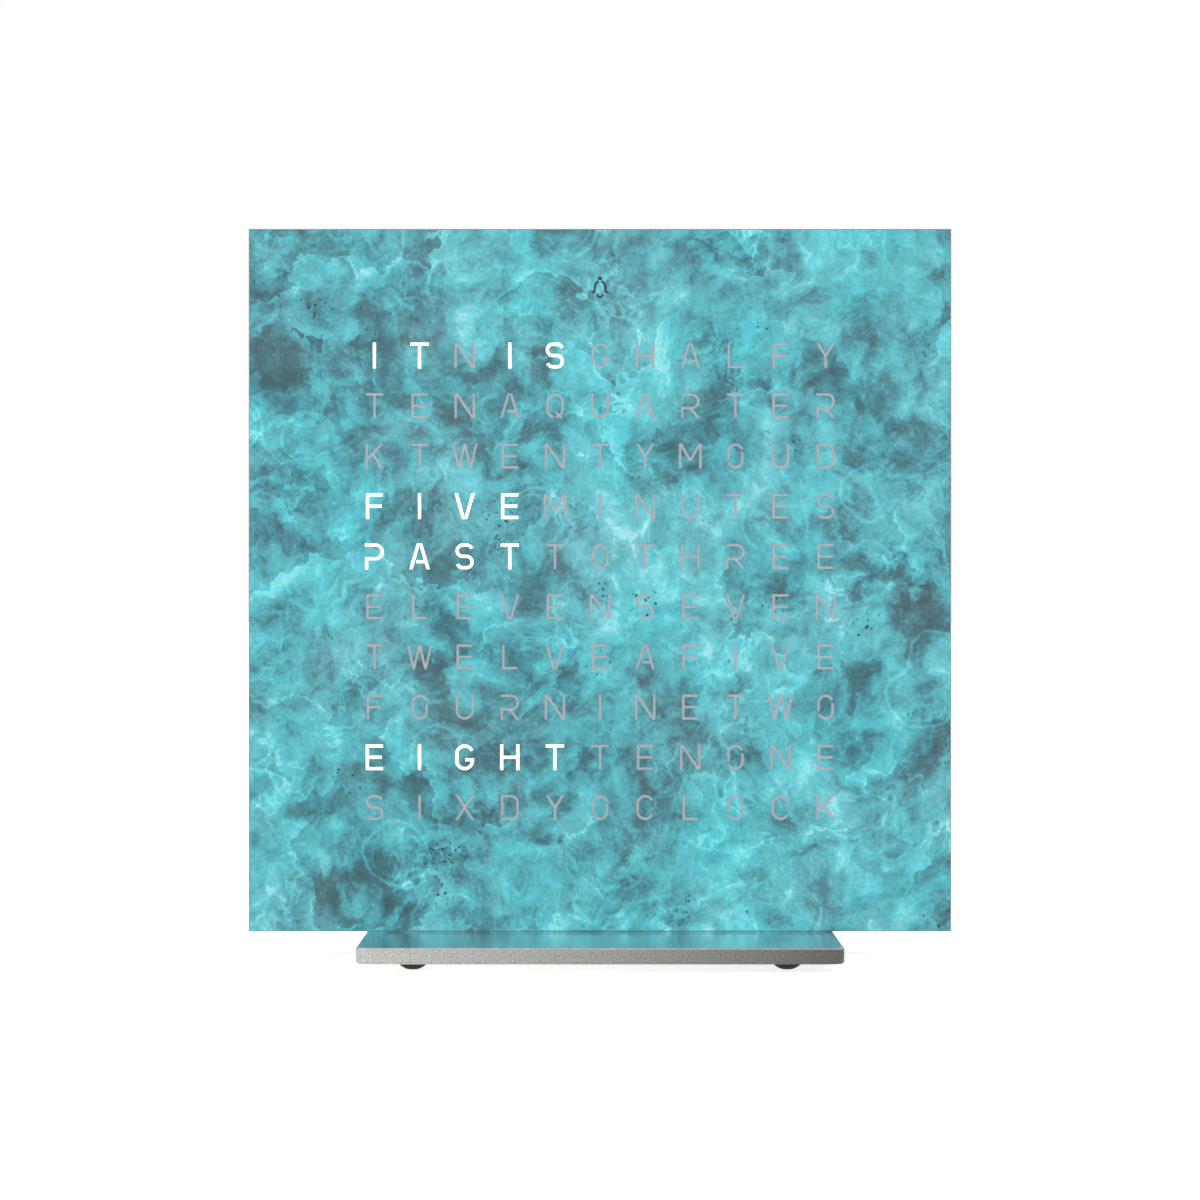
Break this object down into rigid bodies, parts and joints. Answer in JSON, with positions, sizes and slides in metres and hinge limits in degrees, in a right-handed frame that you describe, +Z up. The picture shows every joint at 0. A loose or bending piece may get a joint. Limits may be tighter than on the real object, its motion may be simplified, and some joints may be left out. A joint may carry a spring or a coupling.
{
  "type": "word clock",
  "caption": "Square table clock that tells the time in lit words on a patinated steel face, standing on a steel base plate.",
  "frame": {"origin": "centre of the base plate's footprint, on the table", "axes": "+X to the right as one reads the face, +Y to the back (the face looks along -Y), +Z up"},
  "size_m": [0.135, 0.09, 0.1399],
  "materials": {
    "patina_steel": "chemically patinated sheet steel, matt, cloudy blue-green",
    "lit_resin": "cast translucent resin, lit from behind",
    "unlit_resin": "cast translucent resin, not lit",
    "smoked_resin": "smoked translucent resin, not lit",
    "diffuser_white": "milky light-spreading film",
    "magnet_nickel": "nickel-plated magnet",
    "zinc_steel": "zinc-plated steel disc",
    "blasted_steel": "satin stainless steel, fine blasted grain",
    "foot_rubber": "soft dark rubber",
    "block_aluminium": "milled aluminium, anodised dark",
    "screw_steel": "stainless socket screw",
    "black_oxide": "black-oxide socket screw",
    "housing_black": "moulded black plastic, fine spark texture",
    "grid_black": "moulded black plastic, matt",
    "brass_insert": "knurled brass",
    "board_green": "solder-masked circuit board",
    "lamp_white": "white LED package",
    "chip_black": "moulded epoxy package",
    "can_metal": "drawn metal can",
    "cell_steel": "coin cell case",
    "touch_copper": "copper strip",
    "contact_metal": "plated contact pin",
    "button_black": "moulded black plastic, smooth",
    "plunger_black": "moulded plunger"
  },
  "bodies": {
    "clock_body": {"alarm_switch": "chip_black", "base_plate": "blasted_steel", "board_screws": "screw_steel", "capacitors": "can_metal", "cell_holder": "chip_black", "clock_crystal": "can_metal", "coin_cell": "cell_steel", "cover_screws": "black_oxide", "foot_front_left": "foot_rubber", "foot_front_right": "foot_rubber", "foot_rear_left": "foot_rubber", "foot_rear_right": "foot_rubber", "hours_switch": "chip_black", "housing_frame": "housing_black", "inlet_pin": "contact_metal", "led_board": "board_green", "led_drivers": "chip_black", "light_grid": "grid_black", "magnets": "magnet_nickel", "matrix_leds": "lamp_white", "microcontroller": "chip_black", "minutes_switch": "chip_black", "mount_block": "block_aluminium", "power_inlet": "chip_black", "rear_cover": "housing_black", "sounder": "chip_black", "stand_screws": "screw_steel", "threaded_inserts": "brass_insert", "touch_strip": "touch_copper", "voltage_regulator": "chip_black"},
    "front_cover": {"front_plate": "patina_steel", "letters_lit": "lit_resin", "letters_unlit": "unlit_resin", "bell_inlay": "smoked_resin", "diffuser_film": "diffuser_white", "cover_strikers": "zinc_steel"},
    "hours_key": {"hours_button": "button_black", "hours_plunger": "plunger_black"},
    "minutes_key": {"minutes_button": "button_black", "minutes_plunger": "plunger_black"},
    "alarm_key": {"alarm_button": "button_black", "alarm_plunger": "plunger_black"}
  },
  "joints": [
    {"name": "front_cover_pull", "type": "slide", "parent": "clock_body", "child": "front_cover", "axis": [0, -1, 0], "range_m": [0, 0.03]},
    {"name": "hours_key_press", "type": "slide", "parent": "clock_body", "child": "hours_key", "axis": [0, -1, 0], "range_m": [0, 0.0005], "stiffness_N_per_m": 1500, "springref_m": -0.0008},
    {"name": "minutes_key_press", "type": "slide", "parent": "clock_body", "child": "minutes_key", "axis": [0, -1, 0], "range_m": [0, 0.0005], "stiffness_N_per_m": 1500, "springref_m": -0.0008},
    {"name": "alarm_key_press", "type": "slide", "parent": "clock_body", "child": "alarm_key", "axis": [0, -1, 0], "range_m": [0, 0.0005], "stiffness_N_per_m": 1500, "springref_m": -0.0008}
  ]
}
